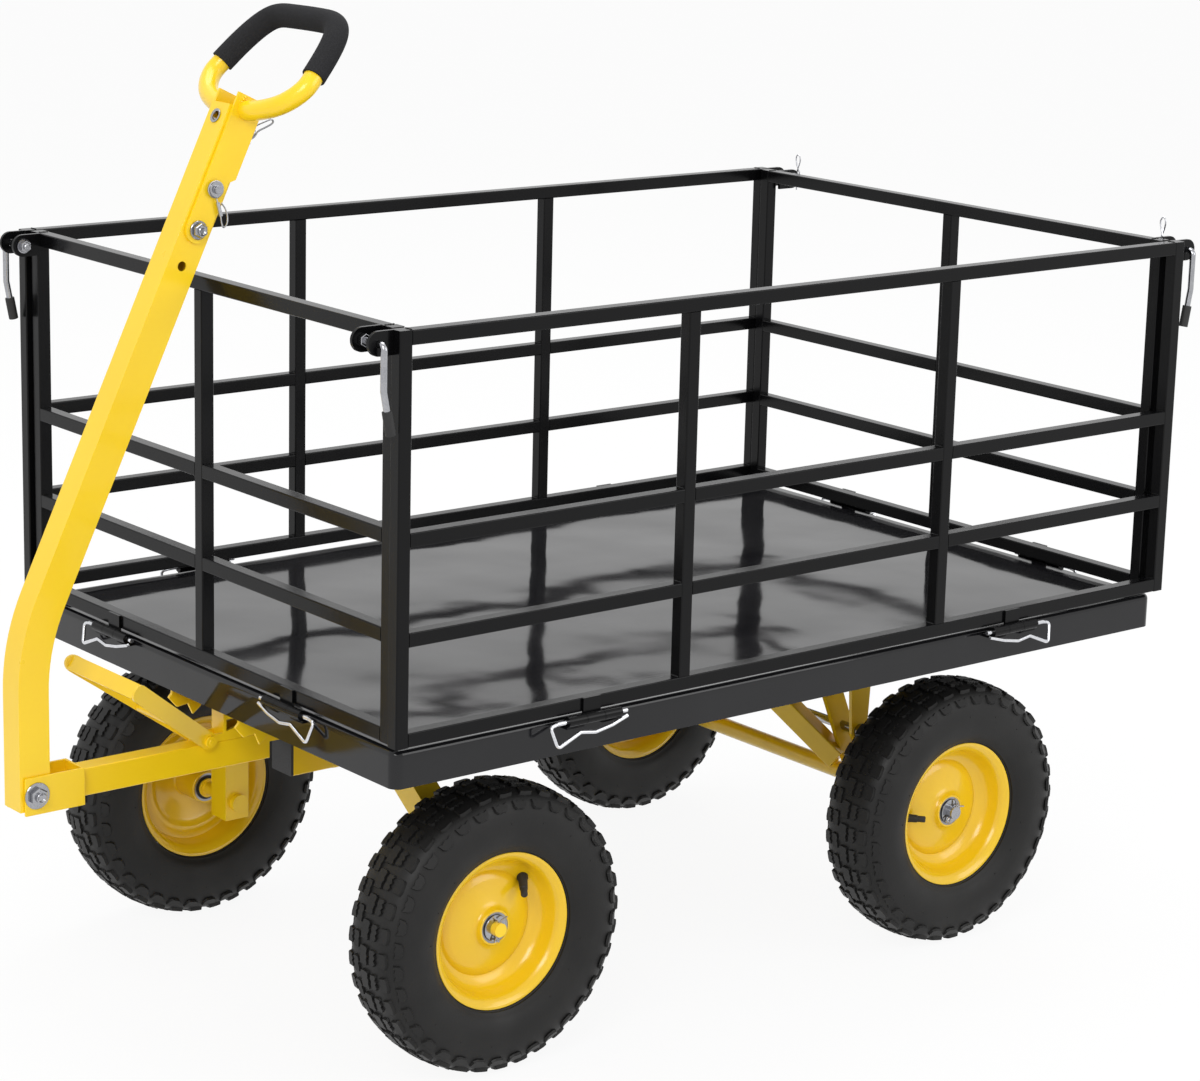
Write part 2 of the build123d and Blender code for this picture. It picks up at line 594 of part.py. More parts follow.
with BuildPart() as loop:
    for side in (-1, 1):
        with BuildLine():
            arm = Spline(*[on_loop(side * x, s) for x, s in loop_half[:foam_end + 1]],
                         tangents=((side, 0, 0), loop_way(side, 1)))
        with BuildSketch(Plane(origin=arm @ 0, z_dir=arm % 0)):
            Circle(loop_radius)
        sweep(path=arm)
keep("grip_loop", loop)

with BuildPart() as foam:
    right = [on_loop(x, s) for x, s in loop_half[foam_end:]]
    left = [on_loop(-x, s) for x, s in loop_half[:foam_end - 1:-1]]
    with BuildLine():
        crossbar = Spline(*right, *left, tangents=(loop_way(1, 1), loop_way(1, -1)))
    with BuildSketch(Plane(origin=crossbar @ 0, z_dir=crossbar % 0)):
        Circle(foam_radius)
    sweep(path=crossbar)
keep("grip_foam", foam)

with BuildPart() as lock_pin:
    for side in (-1, 1):
        rod((side * plate_in, *on_lean(lock_hole)), (side * (plate_out + 10), *on_lean(lock_hole)), 4.4)
        rod((side * plate_out, *on_lean(lock_hole)), (side * (plate_out + 6), *on_lean(lock_hole)), 8.5)
keep("lock_pin", lock_pin)

# ---- wheels -----------------------------------------------------------------------
flange = rim_width / 2
rim_outside = [(-flange, rim_radius), (-flange + 3, rim_radius), (-flange + 4, bead_radius + 3), (-22, bead_radius),
               (22, bead_radius), (flange - 4, bead_radius + 3), (flange - 3, rim_radius), (flange, rim_radius)]
rim_inside = [(flange, rim_radius - 4), (24, bead_radius - rim_sheet), (8, bead_radius - 5), (0, 68), (-2, 60),
              (9, 27), (12, hub_radius), (hub_out, hub_radius), (hub_out, stub_radius + running),
              (-hub_in, stub_radius + running), (-hub_in, hub_radius), (7.5, hub_radius), (7.0, 25),
              (-5, 60), (-2.5, 69), (5, bead_radius - rim_sheet), (-22, bead_radius - rim_sheet),
              (-flange, rim_radius - 4)]
half_tread = tyre_width / 2
tyre_line = [(half_tread - 18, tyre_radius), (half_tread - 7, tyre_radius - 8), (half_tread - 1, tyre_radius - 22),
             (half_tread, 124), (half_tread - 4, 106), (half_tread - 10, 94), (flange + 0.5, rim_radius + 1)]
bead = [(flange, rim_radius), (flange - 3, rim_radius), (flange - 4, bead_radius + 3), (22, bead_radius)]
corners = {"front": front_axle_y, "rear": rear_axle_y}

for end, y in corners.items():
    for name, face in sides.items():
        hub = Plane(origin=(face * wheel_mid, y, axle_z), x_dir=(face, 0, 0), z_dir=(0, -face, 0))
        with BuildPart() as rim:
            with BuildSketch(hub):
                Polygon(*rim_outside, *rim_inside, align=None)
            revolve(axis=Axis(hub.origin, (1, 0, 0)))
        keep(f"{end}_{name}_rim", rim)
        with BuildPart() as tyre:
            with BuildSketch(hub):
                Polygon(*tyre_line, *bead, *[(-u, r) for u, r in bead[::-1]],
                        *[(-u, r) for u, r in tyre_line[::-1]], align=None)
            revolve(axis=Axis(hub.origin, (1, 0, 0)))
        keep(f"{end}_{name}_tyre", tyre)

# ---- centre the footprint on the origin and write every piece ----------------------
boxes = [part.bounding_box() for part in pieces.values()]
fore_aft = -(min(b.min.Y for b in boxes) + max(b.max.Y for b in boxes)) / 2

os.makedirs("parts", exist_ok=True)
for name, part in pieces.items():
    placed = part.moved(Location((0, fore_aft, 0)))
    placed.label = name
    export_step(placed, f"parts/{name}.step")
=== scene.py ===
"""Looks of the tipping garden cart: paint, rubber, foam and zinc, tyre tread, welds, pins and clips.

Metres, +Z up. The handle end points to -Y and the cart's left side to +X.
"""
from math import cos, pi, radians, sin

import bmesh
import bpy
from mathutils import Matrix, Vector


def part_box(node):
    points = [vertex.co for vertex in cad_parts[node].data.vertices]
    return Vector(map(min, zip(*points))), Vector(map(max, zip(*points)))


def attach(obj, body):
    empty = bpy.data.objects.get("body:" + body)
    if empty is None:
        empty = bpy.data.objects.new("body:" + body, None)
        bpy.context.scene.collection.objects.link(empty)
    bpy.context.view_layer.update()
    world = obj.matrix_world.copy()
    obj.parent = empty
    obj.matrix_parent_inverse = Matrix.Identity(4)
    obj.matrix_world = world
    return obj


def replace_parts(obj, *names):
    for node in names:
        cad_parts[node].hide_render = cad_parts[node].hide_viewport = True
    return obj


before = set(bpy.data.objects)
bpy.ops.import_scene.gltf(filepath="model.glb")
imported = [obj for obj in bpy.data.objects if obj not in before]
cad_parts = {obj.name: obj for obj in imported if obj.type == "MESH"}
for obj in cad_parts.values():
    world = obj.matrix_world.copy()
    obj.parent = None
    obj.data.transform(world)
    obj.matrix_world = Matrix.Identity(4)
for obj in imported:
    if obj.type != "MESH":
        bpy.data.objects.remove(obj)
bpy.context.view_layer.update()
MM = 0.001

# ---- camera -----------------------------------------------------------------------
# A long lens a little above the rails, ahead of the cart's front left corner. It looks at
# the middle of the bed.
pan_low, pan_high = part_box("floor_pan")
bed_middle = (pan_low + pan_high) / 2
aim_height = 0.528
eye_aside, eye_ahead, eye_height = 3.0327, 2.4645, 1.456
aim = Vector((0, bed_middle.y, aim_height))
eye = Vector((eye_aside, bed_middle.y - eye_ahead, eye_height))
camera_roll = radians(1.46)
lens = bpy.data.cameras.new("view")
lens.lens, lens.sensor_width = 98.13, 36
lens.shift_x, lens.shift_y = -0.0037, -0.0302
lens.dof.use_dof = False
camera = bpy.data.objects.new("camera", lens)
bpy.context.scene.collection.objects.link(camera)
camera.matrix_world = (Matrix.Translation(eye) @ (aim - eye).to_track_quat("-Z", "Y").to_matrix().to_4x4()
                       @ Matrix.Rotation(camera_roll, 4, "Z"))
bpy.context.scene.camera = camera

# ---- chassis: spine, axle, braces and steered front frame ---------------------------
# Welded steel tube and plate under the bed, powder coated yellow, with a fine orange peel
# in the coat. Each piece keeps its own shape and gets broken edges and smooth rounds.


class Signal:
    """A value that runs through a finish: operators on it add the Math nodes."""

    def __init__(self, finish, socket):
        self.finish, self.socket = finish, socket

    def __add__(self, other):
        return self.finish.maths("ADD", self, other)

    def __sub__(self, other):
        return self.finish.maths("SUBTRACT", self, other)

    def __rsub__(self, other):
        return self.finish.maths("SUBTRACT", other, self)

    def __mul__(self, other):
        return self.finish.maths("MULTIPLY", self, other)

    __radd__, __rmul__ = __add__, __mul__


class Finish:
    """A surface finish, put together around one Principled shader."""

    def __init__(self, name, **fixed):
        self.material = bpy.data.materials.new(name)
        self.material.use_nodes = True
        self.tree = self.material.node_tree
        self.shader = self.tree.nodes["Principled BSDF"]
        for socket, value in fixed.items():
            self.shader.inputs[socket.replace("_", " ")].default_value = value
        self.at = Signal(self, self.node("ShaderNodeTexCoord").outputs["Object"])

    def node(self, kind, settings=(), **sockets):
        """A node with its settings, then its sockets by name, or by number as in i0."""
        made = self.tree.nodes.new(kind)
        for setting, value in dict(settings).items():
            setattr(made, setting, value)
        for socket, value in sockets.items():
            entry = made.inputs[int(socket[1:]) if socket[1:].isdigit() else socket.replace("_", " ")]
            if isinstance(value, Signal):
                self.tree.links.new(value.socket, entry)
            else:
                entry.default_value = value
        return made

    def maths(self, operation, *values):
        sockets = {f"i{number}": value for number, value in enumerate(values)}
        return Signal(self, self.node("ShaderNodeMath", {"operation": operation}, **sockets).outputs[0])

    def noise(self, size, detail=2.0):
        """Soft noise from 0 to 1 whose lumps are about this many metres across."""
        made = self.node("ShaderNodeTexNoise", Vector=self.at, Scale=1 / size, Detail=detail)
        return Signal(self, made.outputs["Fac"])

    def cells(self, size):
        """Distance to the nearest of points scattered about this many metres apart."""
        made = self.node("ShaderNodeTexVoronoi", Vector=self.at, Scale=1 / size)
        return Signal(self, made.outputs["Distance"])

    def ramp(self, value, low, high):
        """0 below the low value and 1 above the high one, smooth between."""
        made = self.node("ShaderNodeMapRange", {"interpolation_type": "SMOOTHSTEP"}, Value=value,
                         From_Min=low, From_Max=high)
        return Signal(self, made.outputs["Result"])

    def blend(self, factor, first, second):
        """Colour that goes from the first to the second as the factor goes from 0 to 1."""
        made = self.node("ShaderNodeMix", {"data_type": "RGBA"}, i0=factor, i6=first, i7=second)
        return Signal(self, made.outputs[2])

    def drive(self, socket, value):
        self.tree.links.new(value.socket, self.shader.inputs[socket])

    def relief(self, height):
        """Bumps whose height is in metres."""
        made = self.node("ShaderNodeBump", Height=height, Strength=1.0, Distance=1.0)
        self.tree.links.new(made.outputs["Normal"], self.shader.inputs["Normal"])


def rgb(red, green, blue):
    """Colour as it looks on a screen, out of 255, as the shader's own values."""
    return tuple((v / 255 / 12.92 if v < 10.3 else ((v / 255 + 0.055) / 1.055) ** 2.4)
                 for v in (red, green, blue)) + (1.0,)


def coat(name, light, dark, roughness, spread, peel, clear=0.0, **fixed):
    """Paint baked on steel: slow drift between two colours, uneven gloss and an orange peel."""
    paint = Finish(name, Coat_Weight=clear, Coat_Roughness=0.08, **fixed)
    drift = paint.noise(0.11, 3.0)
    speck = paint.noise(0.004, 2.0)
    paint.drive("Base Color", paint.blend(drift * 0.75 + speck * 0.25, light, dark))
    paint.drive("Roughness", roughness + (paint.noise(0.03, 4.0) - 0.5) * spread)
    paint.relief(paint.noise(0.0032, 2.0) * peel + paint.noise(0.014, 1.0) * peel * 2.0)
    return paint.material


yellow_coat = coat("yellow_powder_coat", rgb(250, 213, 22), rgb(243, 198, 12), 0.30, 0.10, 0.00003, 0.25)
sharp_turn = radians(35)                   # edges that turn by more than this are broken
short_edge, short_share = 3 * MM, 0.35     # a hole's short edges get this share of the break


def wrought(name, finish, body, edge=0.8, turned=None):
    """A CAD piece's own shape with its triangles merged, edges broken and rounds smoothed.

    The short edges of a drilled hole are broken less than the long ones.
    """
    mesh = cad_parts[name].data.copy()
    mesh.materials.clear()
    mesh.materials.append(finish)
    work = bmesh.new()
    work.from_mesh(mesh)
    bmesh.ops.remove_doubles(work, verts=work.verts, dist=2e-5)
    bmesh.ops.dissolve_limit(work, angle_limit=radians(0.4), verts=work.verts, edges=work.edges)
    for face in work.faces:
        face.smooth, face.material_index = True, 0
    share = work.edges.layers.float.new("bevel_weight_edge")
    for side in work.edges:
        if len(side.link_faces) == 2 and side.calc_face_angle(0) > sharp_turn:
            side[share] = short_share if side.calc_length() < short_edge else 1.0
            side.smooth = False
    if turned:
        mesh.materials.append(turned[0])
        for face in work.faces:
            face.material_index = int(turned[1](face.calc_center_median()))
    for loose in [layer for layer in mesh.attributes if layer.name == "custom_normal"]:
        mesh.attributes.remove(loose)
    work.to_mesh(mesh)
    work.free()
    piece = bpy.data.objects.new(f"{name}_finished", mesh)
    bpy.context.scene.collection.objects.link(piece)
    rounding = piece.modifiers.new("broken_edges", "BEVEL")
    rounding.width, rounding.segments = edge * MM, 2
    rounding.limit_method = "WEIGHT"
    flats = piece.modifiers.new("true_flats", "WEIGHTED_NORMAL")
    flats.keep_sharp = False
    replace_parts(piece, name)
    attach(piece, body)


def plated(name, shade, roughness):
    """Zinc plate: bright metal with a faint spangle and hairline scratches, and slow dark patches in its
    colour that are a painted reflection of dark surroundings.
    """
    metal = Finish(name, Metallic=1.0)
    spangle = metal.cells(0.0018)
    # painted reflection: the slow noise darkens the colour in patches that stand in for reflected dark
    # surroundings; the spangle is the plating's own
    light, dark = rgb(shade, shade, shade + 3), rgb(shade - 52, shade - 50, shade - 45)
    metal.drive("Base Color", metal.blend(metal.noise(0.012, 4.0) * 0.6 + spangle * 0.4, light, dark))
    metal.drive("Roughness", roughness + (metal.noise(0.005, 4.0) - 0.5) * 0.2)
    metal.relief(metal.noise(0.0012, 3.0) * 0.00002)
    return metal.material


zinc = plated("zinc_plate", 190, 0.16)
hub_cover = 20 * MM                        # how far the paint runs in past the rim's inner edge
wheel_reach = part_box("front_left_rim")[0].x + hub_cover


def past_hub(place):
    """True on the bare end of the axle, from inside the wheel outwards."""
    return abs(place.x) > wheel_reach


for piece in ("spine", "kingpin", "rear_saddle", "rear_braces"):
    wrought(piece, yellow_coat, "chassis")
wrought("rear_axle", yellow_coat, "chassis", 0.6, turned=(zinc, past_hub))
wrought("tilt_rod", zinc, "chassis", 0.6)
for piece in ("front_arch", "tongue", "tongue_gussets", "clevis", "release_lever", "lever_rod"):
    wrought(piece, yellow_coat, "steering")
wrought("front_stub_axles", yellow_coat, "steering", 0.6)

# ---- spine's end caps ---------------------------------------------------------------
# Square moulded plastic plugs pressed into both open ends of the spine, with a fine
# leathery grain.
moulded = Finish("black_moulded_plastic")
grain = moulded.cells(0.0011)
moulded.drive("Base Color", moulded.blend(moulded.noise(0.02), rgb(40, 40, 42), rgb(30, 30, 31)))
moulded.drive("Roughness", 0.42 + grain * 0.25)
moulded.relief(grain * 0.00006)
wrought("spine_caps", moulded.material, "chassis", 0.8)

# ---- bed floor ----------------------------------------------------------------------
# One pressed steel tray, gloss black. The broad sheet is never quite flat, so it shows the
# rails in slow waves.
sheet_black = Finish("gloss_black_sheet", IOR=1.4)
dust = sheet_black.noise(0.16, 5.0)
sheet_black.drive("Base Color", sheet_black.blend(dust, rgb(16, 16, 18), rgb(28, 28, 30)))
sheet_black.drive("Roughness", 0.06 + sheet_black.ramp(dust, 0.35, 0.8) * 0.06)
sheet_black.relief(sheet_black.noise(0.21, 1.0) * 0.0042 + sheet_black.noise(0.07, 1.0) * 0.0003
                   + sheet_black.noise(0.004) * 0.000012)
wrought("floor_pan", sheet_black.material, "bed", 0.8)

# ---- rails and uprights of the four panels ---------------------------------------------
# Square steel tube, mitred and butt welded, in the same black coat. Small lumpy weld beads
# stand in the corners where a rail meets an upright.
black_coat = coat("black_powder_coat", rgb(12, 12, 13), rgb(7, 7, 8), 0.2, 0.1, 0.00003, 0.0, IOR=1.26)
panel_bodies = {"front": "bed", "rear": "rear_panel", "left": "left_panel", "right": "right_panel"}
for side, body in panel_bodies.items():
    wrought(f"{side}_panel_uprights", black_coat, body, 0.3)
    wrought(f"{side}_panel_rails", black_coat, body, 0.3)
    wrought(f"{side}_panel_fittings", black_coat, body, 0.5)
wrought("bed_hinges", black_coat, "bed", 0.5)
wrought("bed_hangers", yellow_coat, "bed")
wrought("bed_hooks", yellow_coat, "bed")


crisp_turn = radians(38)                   # new pieces are sharp where they turn by more


def add_piece(name, work, finish, body):
    """The finished mesh as a piece that rides on its body."""
    mesh = bpy.data.meshes.new(name)
    for face in work.faces:
        face.smooth = True
    for side in work.edges:
        if len(side.link_faces) == 2 and side.calc_face_angle(0) > crisp_turn:
            side.smooth = False
    work.to_mesh(mesh)
    work.free()
    mesh.materials.append(finish)
    piece = bpy.data.objects.new(name, mesh)
    bpy.context.scene.collection.objects.link(piece)
    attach(piece, body)
    return piece


def bead(work, start, end, radius):
    """A weld bead: overlapping flattened lumps from start to end."""
    way = end - start
    lumps = max(2, round(way.length / (1.7 * radius)))
    turn = way.to_track_quat("X", "Z").to_matrix().to_4x4()
    for number in range(lumps):
        place = start + way * (number + 0.5) / lumps
        wobble = 1 + 0.16 * sin(number * 2.4 + start.x * 90 + start.y * 50)
        size = Matrix.Diagonal((1.05 * wobble, 0.9 * wobble, 0.9 * wobble, 1))
        bmesh.ops.create_icosphere(work, subdivisions=1, radius=radius,
                                   matrix=Matrix.Translation(place) @ turn @ size)


stile_places = {"left": 0.197, "right": 0.197, "front": 0.0, "rear": 0.0}
tube = 16 * MM
rail_rises = (0.0, 0.108, 0.214, 0.425)
bead_radius, bead_inset = 1.2 * MM, 2 * MM
for side, body in panel_bodies.items():
    low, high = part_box(f"{side}_panel_uprights")
    long_axis = 1 if side in ("left", "right") else 0
    across = 1 - long_axis
    middle = (low + high) / 2
    stile = stile_places[side]
    stiles = (-stile, stile) if stile else (0.0,)
    stile_faces = [middle[long_axis] + s + e * tube / 2 for s in stiles for e in (-1, 1)]
    post_faces = [low[long_axis] + tube, high[long_axis] - tube]
    spots = []
    for rise in rail_rises:
        inner = rise in rail_rises[1:3]
        for place in post_faces + stile_faces if inner else post_faces:
            spots += [(place, level) for level in (rise, rise + tube)
                      if low.z + level not in (low.z, high.z)]
        if not inner:
            spots += [(place, rise + tube if rise == 0 else rise) for place in stile_faces]
    work = bmesh.new()
    for place, level in spots:
        start = Vector((0, 0, low.z + level))
        start[long_axis], start[across] = place, low[across] + bead_inset
        end = start.copy()
        end[across] = high[across] - bead_inset
        bead(work, start, end, bead_radius)
    add_piece(f"{side}_panel_welds", work, black_coat, body)

# ---- hinge pins ---------------------------------------------------------------------
# Each hinge is pinned by one length of bright spring wire, bent back along the barrels so
# that it can't slide out.
spring_wire = plated("bright_spring_wire", 240, 0.16)
wrought("hinge_clips", spring_wire, "bed", 0.2)

# ---- corner latches -----------------------------------------------------------------
# A bright cranked rod crosses both ears of a corner and hangs down as a lever, with a
# rubber sleeve on its end. It is parted between the ears here, so that each panel folds
# with its own half.
sleeve_rubber = Finish("black_rubber")
sleeve_rubber.drive("Base Color", sleeve_rubber.blend(sleeve_rubber.noise(0.01), rgb(34, 33, 33),
                                                      rgb(24, 24, 24)))
sleeve_rubber.drive("Roughness", 0.55 + sleeve_rubber.noise(0.004) * 0.2)
sleeve_rubber.relief(sleeve_rubber.noise(0.0016) * 0.00005)
for side in ("left", "right"):
    body = panel_bodies[side]
    wrought(f"{side}_latch_levers", zinc, body, 0.3)
    wrought(f"{side}_latch_sleeves", sleeve_rubber.material, body, 1.4)

# ---- handle -------------------------------------------------------------------------
# One bent square tube on the clevis bolt, with a bracket that carries the grip loop. The
# loop's ends are welded into the bracket's plates.
wrought("handle_tube", yellow_coat, "handle", 2.2)
wrought("grip_bracket", yellow_coat, "grip", 0.8)
wrought("grip_loop", yellow_coat, "grip", 0.4)
handle_lean = radians(25.3)
flip_low, flip_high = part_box("handle_bolt")
flip_middle = (flip_low + flip_high) / 2
up_handle = Vector((0, sin(handle_lean), cos(handle_lean)))
off_handle = Vector((0, -cos(handle_lean), sin(handle_lean)))


def on_handle(across, along, ahead):
    """Place in mm by the handle's own directions from the flip bolt's middle."""
    return flip_middle + (Vector((across, 0, 0)) + up_handle * along + off_handle * ahead) * MM


def weld_ring(work, middle, first, second, radius, lump, turns):
    """A weld bead round most of a circle whose plane holds the two directions."""
    for number in range(turns):
        turn = 2 * pi * number / turns
        if cos(turn) > 0.6:
            continue
        spot = middle + (first * cos(turn) + second * sin(turn)) * radius
        bmesh.ops.create_icosphere(work, subdivisions=1, radius=lump * (1 + 0.15 * sin(number * 2.3)),
                                   matrix=Matrix.Translation(spot))


plate_side, loop_along, loop_ahead = 20.8, 147, -4.2
ring_radius, ring_lump, ring_lumps = 11.3 * MM, 1.7 * MM, 20
welds = bmesh.new()
for side in (-1, 1):
    weld_ring(welds, on_handle(side * plate_side, loop_along, loop_ahead), up_handle, off_handle,
              ring_radius, ring_lump, ring_lumps)
add_piece("grip_loop_welds", welds, yellow_coat, "grip")

# ---- foam sleeve ----------------------------------------------------------------------
# Closed-cell foam tube pushed over the top of the grip loop, with square cut ends. Its colour is painted
# darker in the pits of its pores, as painted shade.
foam = Finish("black_foam", IOR=1.25)
pores = foam.cells(0.0009)
# painted shade: the colour goes dark in the pores' pits, which the relief sinks
foam.drive("Base Color", foam.blend(pores, rgb(22, 22, 23), rgb(52, 52, 54)))
foam.drive("Roughness", 0.86 + pores * 0.12)
foam.relief(pores * 0.00025 + foam.noise(0.008) * 0.0002)
wrought("grip_foam", foam.material, "grip", 0.8)

# ---- pneumatic tyres ------------------------------------------------------------------
# Black rubber carcass, turned about the hub, with block tread moulded round it: a row of
# bars in the middle, zigzag blocks beside it and scalloped lugs on both shoulders.
tyre = Finish("tyre_rubber", IOR=1.35)
scuff = tyre.noise(0.05, 5.0)
tyre.drive("Base Color", tyre.blend(scuff, rgb(31, 30, 29), rgb(18, 18, 18)))
tyre.drive("Roughness", 0.38 + scuff * 0.25)
tyre.relief(tyre.noise(0.0025, 3.0) * 0.00012)
wheel_hands = {f"{end}_{side}": 1 if side == "left" else -1 for end in ("front", "rear")
               for side in ("left", "right")}


def lathe(outline, steps=96):
    """A closed outline of places along and out from the X axis, in mm, turned about it."""
    part = bmesh.new()
    corners = [part.verts.new((along * MM, 0, out * MM)) for along, out in outline]
    for a, b in zip(corners, corners[1:] + corners[:1]):
        part.edges.new((a, b))
    bmesh.ops.spin(part, geom=part.verts[:] + part.edges[:], cent=(0, 0, 0), axis=(1, 0, 0),
                   angle=2 * pi, steps=steps, use_merge=True)
    bmesh.ops.remove_doubles(part, verts=part.verts, dist=1e-6)
    bmesh.ops.recalc_face_normals(part, faces=part.faces)
    return part


def join(work, part, place=None):
    """Puts a part into the piece that is being made."""
    part.transform(place or Matrix())
    joined = bpy.data.meshes.new("part")
    part.to_mesh(joined)
    part.free()
    work.from_mesh(joined)
    bpy.data.meshes.remove(joined)


def at_wheel(wheel):
    """Turns the pattern of a left wheel, drawn about the X axis, to a wheel's own place."""
    low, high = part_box(f"{wheel}_tyre")
    half_turn = 0 if wheel_hands[wheel] > 0 else pi
    return Matrix.Translation((low + high) / 2) @ Matrix.Rotation(half_turn, 4, "Z")


def at_wheels(label, pattern, finish, bodies=None, stands_for=None):
    """One copy of the pattern on each wheel; the pattern is used up."""
    kept = bpy.data.meshes.new(label)
    pattern.to_mesh(kept)
    pattern.free()
    for wheel in wheel_hands:
        work = bmesh.new()
        work.from_mesh(kept)
        work.transform(at_wheel(wheel))
        body = bodies[wheel] if bodies else f"{wheel}_wheel"
        piece = add_piece(f"{wheel}_{label}", work, finish, body)
        if stands_for:
            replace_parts(piece, f"{wheel}_{stands_for}")
    bpy.data.meshes.remove(kept)


side_wall = [(12, 161.9), (22, 161), (30, 158.4), (36, 154), (40, 148), (42.6, 140), (44.2, 131),
             (44.6, 121), (44.2, 116), (43.3, 111), (41, 102.5), (37.4, 96.5), (34.6, 93.6), (34.2, 92.4),
             (32.0, 92.2), (31.2, 91)]
carcass = lathe([(0, 162.1)] + side_wall + [(-u, r) for u, r in side_wall[::-1]])
at_wheels("tyre_carcass", carcass, tyre.material, stands_for="tyre")

pitches = 36                               # how often the tread repeats round the tyre


def lug(work, outline, foot, height, lean=0.0, draft=0.9, half=0):
    """A moulded lug on the crown: its outline across and along the tread, in mm."""
    corners = [work.verts.new((u * MM, t * MM, 0)) for u, t in outline]
    foot_face = work.faces.new(corners)
    raised = bmesh.ops.extrude_face_region(work, geom=[foot_face])["geom"]
    top = [one for one in raised if isinstance(one, bmesh.types.BMVert)]
    middle = sum((vert.co for vert in top), Vector()) / len(top)
    bmesh.ops.scale(work, verts=top, vec=(draft, draft, 1), space=Matrix.Translation(-middle))
    bmesh.ops.translate(work, verts=top, vec=(0, 0, height * MM))
    foot_u = sum(u for u, _ in outline) / len(outline) * MM
    made = corners + top
    bmesh.ops.rotate(work, verts=made, cent=(foot_u, 0, 0), matrix=Matrix.Rotation(lean, 3, "Y"))
    bmesh.ops.translate(work, verts=made, vec=(0, 0, foot * MM))
    if half:
        bmesh.ops.rotate(work, verts=made, cent=(0, 0, 0),
                         matrix=Matrix.Rotation(half * pi / pitches, 3, "X"))


def handed(hand, outline, later=0):
    """The outline on one side of the crown, moved a little later along the tread."""
    return [(hand * across, along + later) for across, along in outline]


middle_bar = [(-7, -11), (-5.6, -9), (-7, -3), (-5.4, 0), (-7, 4), (-5.8, 10), (-4, 11.4), (5, 11),
              (7, 9), (5.6, 3), (7, 0), (5.4, -5), (7, -9), (6, -11)]
zigzag_block = [(9.2, -9.5), (17, -10), (20, -6), (17.4, -2.6), (20, 0.6), (17.4, 4), (20, 7.4),
                (18, 10), (10.6, 9.4), (9, 4), (10.4, 0), (9, -4)]
scalloped_block = [(22.4, -8.6), (33, -9.4), (34.2, -4), (33.4, 7), (31.4, 9), (22.6, 8.2), (24.8, 5),
                   (22.2, 1.8), (24.8, -1.6), (22.2, -5)]
shoulder_lug = [(35.0, -10), (42.4, -8.6), (45.6, -5.4), (45.6, 4), (42.4, 8), (35.0, 9.4), (37, 4.6),
                (35.4, 0), (37, -5)]
side_rib = [(37.5, -1.6), (44.5, -1.2), (44.5, 1.2), (37.5, 1.6)]
rib_step = 7

tread = bmesh.new()
lug(tread, middle_bar, 159.4, 5.4, draft=0.94)
for hand, half in ((1, 0), (-1, 1)):
    lug(tread, handed(hand, zigzag_block), 158.8, 5.2, hand * 0.03, half=half)
    lug(tread, handed(hand, scalloped_block), 156.6, 5.0, hand * 0.2, half=half)
    lug(tread, handed(hand, shoulder_lug), 147.6, 2.9, hand * 0.93, draft=0.92, half=half + 1)
    for rib in range(3):
        lug(tread, handed(hand, side_rib, rib * rib_step - rib_step), 137.0, 1.6, hand * 1.36, half=half)
bmesh.ops.recalc_face_normals(tread, faces=tread.faces)
bmesh.ops.spin(tread, geom=tread.verts[:] + tread.edges[:] + tread.faces[:], cent=(0, 0, 0), axis=(1, 0, 0),
               angle=2 * pi * (pitches - 1) / pitches, steps=pitches - 1, use_duplicate=True)
nubs, nub_radius = 26, 0.9 * MM            # the rubber left by the mould's vents
nub_places = (44.2, 128), (41.9, 105.5)
for nub in range(nubs):
    hand = 1 - 2 * (nub % 2)
    u, r = nub_places[nub // 2 % 2]
    turn = nub * 2.4
    bmesh.ops.create_icosphere(tread, subdivisions=1, radius=nub_radius, matrix=Matrix.Translation(
        (hand * u * MM, r * sin(turn) * MM, r * cos(turn) * MM)))
at_wheels("tyre_tread", tread, tyre.material)

# ---- wheel rims -----------------------------------------------------------------------
# Two steel pressings on a hub tube, with rolled edges that hold the tyre and a shallow
# domed disc, in a glossy yellow coat. A rubber valve stem comes out through the dish.
rim_coat = coat("yellow_rim_coat", rgb(238, 197, 22), rgb(228, 184, 12), 0.24, 0.08, 0.00002, 0.3)
pressing = [(31, 90), (31.2, 88.2), (30.2, 86.2), (28, 83.5), (26, 80.5), (20, 78), (12, 76), (6, 73.5),
            (1.5, 69), (-1.2, 64), (-2.2, 60.8), (-1.2, 59.2), (0.2, 58), (2.5, 50), (5.8, 38), (8.5, 28),
            (9.8, 24.5), (12.5, 21.5), (16.2, 20.4), (17, 19.8), (17, 17.8), (-36, 17.8), (-36, 19.6),
            (-35.4, 20.2), (4.5, 20.3), (6.2, 22), (6, 27.5), (3.3, 38), (0, 50), (-2.4, 57), (-4.2, 58.6),
            (-5, 61), (-4, 65), (-1.2, 71), (-2, 74.6), (-20, 78), (-26, 80.5), (-28, 83.5), (-30.2, 86.2),
            (-31.2, 88.2), (-31, 90), (-29, 90.4), (-27, 86), (-24, 83), (24, 83), (27, 86), (29, 90.4)]
at_wheels("rim_pressing", lathe(pressing), rim_coat, stands_for="rim")

valve_turns = {"front_left": radians(42), "rear_left": radians(180), "front_right": radians(250),
               "rear_right": radians(130)}
valve_circle = 67                          # radius at which the stems leave the dish, mm
for wheel, turn in valve_turns.items():
    stem = lathe([(0, 0.01), (0, 6.6), (3, 6.6), (5, 5.4), (20, 4.6), (21, 3.6), (21, 3.9), (29, 3.9),
                  (30, 3.2), (30, 0.01)], 20)
    outward = Vector((0, cos(turn), sin(turn)))
    way = Vector((24, 0, 0)) + outward * -20
    foot = outward * valve_circle * MM
    pose = Matrix.Translation(foot) @ way.to_track_quat("X", "Z").to_matrix().to_4x4()
    work = bmesh.new()
    join(work, stem, at_wheel(wheel) @ pose)
    add_piece(f"{wheel}_valve", work, sleeve_rubber.material, f"{wheel}_wheel")

